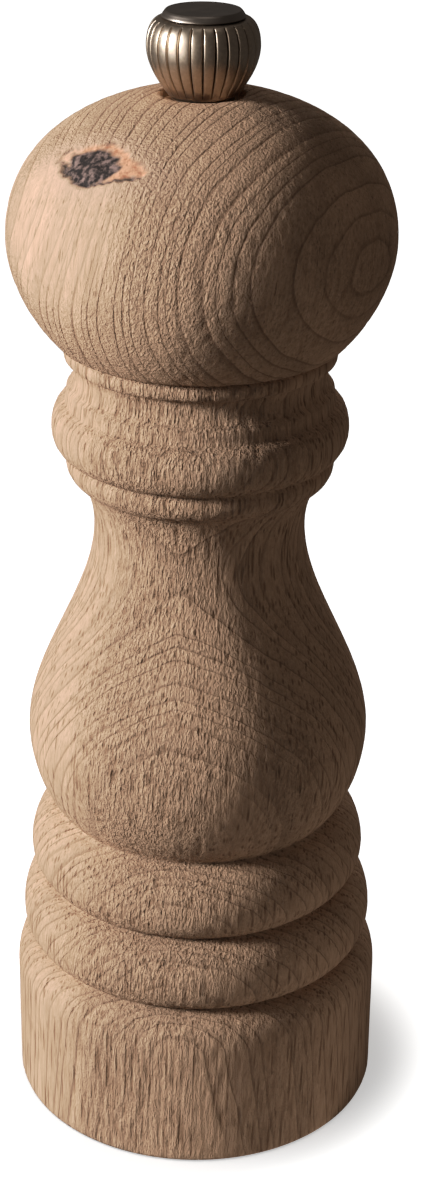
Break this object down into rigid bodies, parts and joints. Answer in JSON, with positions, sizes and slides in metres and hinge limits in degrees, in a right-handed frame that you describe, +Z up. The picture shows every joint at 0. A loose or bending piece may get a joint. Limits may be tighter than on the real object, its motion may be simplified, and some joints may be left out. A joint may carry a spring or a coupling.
{
  "type": "pepper mill",
  "caption": "Turned wooden pepper mill with a round head and a ribbed metal knob that sets how far the shaft lifts the grinding cone into its ring.",
  "frame": {"origin": "centre of the foot's flat underside, at the bottom of the mill", "axes": "+Z up along the shaft's axis, from the foot to the knob; the turned body looks the same along X and Y"},
  "size_m": [0.0602, 0.0602, 0.18],
  "materials": {
    "barrel_wood": "raw matte beech, straight grain",
    "head_wood": "raw matte beech, slanting grain with a knot",
    "knob_metal": "dark warm nickel, polished",
    "cap_metal": "dark warm nickel, satin",
    "steel": "drawn steel",
    "hardened_steel": "case-hardened, dark",
    "zinc_plate": "zinc-plated pressed steel"
  },
  "bodies": {
    "stand": {"barrel": "barrel_wood", "grinding_ring": "hardened_steel", "mechanism_flange": "zinc_plate", "bridge": "zinc_plate", "bridge_rivet_1": "steel", "bridge_rivet_2": "steel", "flange_screw_1": "zinc_plate", "flange_screw_2": "zinc_plate", "flange_screw_3": "zinc_plate"},
    "spring_set": {"spring_upper_washer": "steel", "adjusting_spring": "steel"},
    "shaft_set": {"drive_shaft": "steel", "grinding_cone": "hardened_steel", "spring_lower_washer": "steel", "cone_retaining_clip": "steel", "shaft_stop_washer": "steel"},
    "head_set": {"head": "head_wood", "drive_plate": "zinc_plate", "drive_plate_screw_1": "zinc_plate", "drive_plate_screw_2": "zinc_plate", "knob_seat_washer": "knob_metal"},
    "knob_set": {"knob": "knob_metal", "knob_cap": "cap_metal"}
  },
  "joints": [
    {"name": "grind_turn", "type": "hinge", "parent": "stand", "child": "spring_set", "pos_m": [0, 0, 0.02], "axis": [0, 0, 1], "continuous": true},
    {"name": "grind_adjust", "type": "slide", "parent": "spring_set", "child": "shaft_set", "axis": [0, 0, 1], "range_m": [-0.00121, 0.00081], "deforming": ["adjusting_spring"]},
    {"name": "head_lift_off", "type": "slide", "parent": "spring_set", "child": "head_set", "axis": [0, 0, 1], "range_m": [0, 0.14]},
    {"name": "knob_turn", "type": "hinge", "parent": "head_set", "child": "knob_set", "pos_m": [0, 0, 0.174], "axis": [0, 0, 1], "range_deg": [-360, 540]}
  ],
  "couplings": [
    {"joint": "grind_adjust", "follows": "knob_turn", "m_per_rad": -0.00012732}
  ]
}
